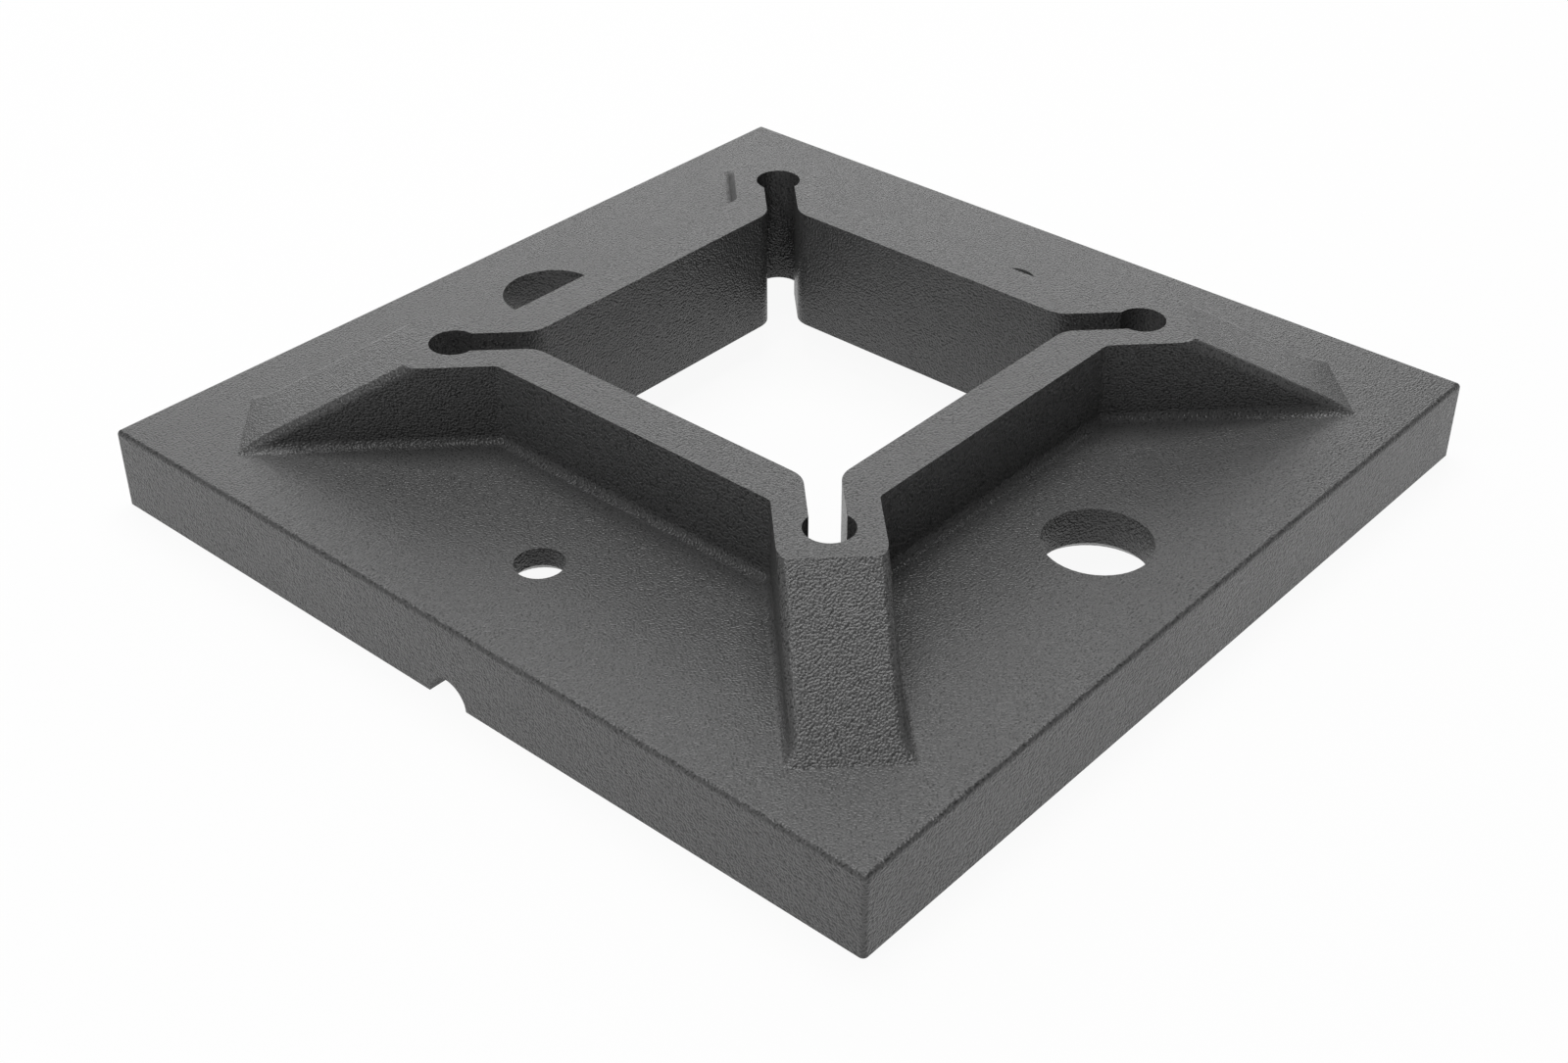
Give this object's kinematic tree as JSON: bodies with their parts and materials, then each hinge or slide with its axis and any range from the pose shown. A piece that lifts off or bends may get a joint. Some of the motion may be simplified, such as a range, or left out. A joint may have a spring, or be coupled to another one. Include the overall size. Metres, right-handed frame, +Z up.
{
  "type": "post floor flange",
  "caption": "Square cast floor flange with a raised square post collar, sloped corner ribs with keyhole slots, bolt holes and a recessed underside.",
  "frame": {"origin": "middle of the underside, on the floor under the post's axis", "axes": "+Z up along the post; +Y through the large holes; +X through the small holes, away from the rim with the drain notch"},
  "size_m": [0.2, 0.2, 0.036],
  "materials": {
    "flange_casting": "dark grey cast skin with a fine grain, smoother on level faces"
  },
  "bodies": {
    "root": {"floor_flange": "flange_casting"}
  },
  "joints": []
}
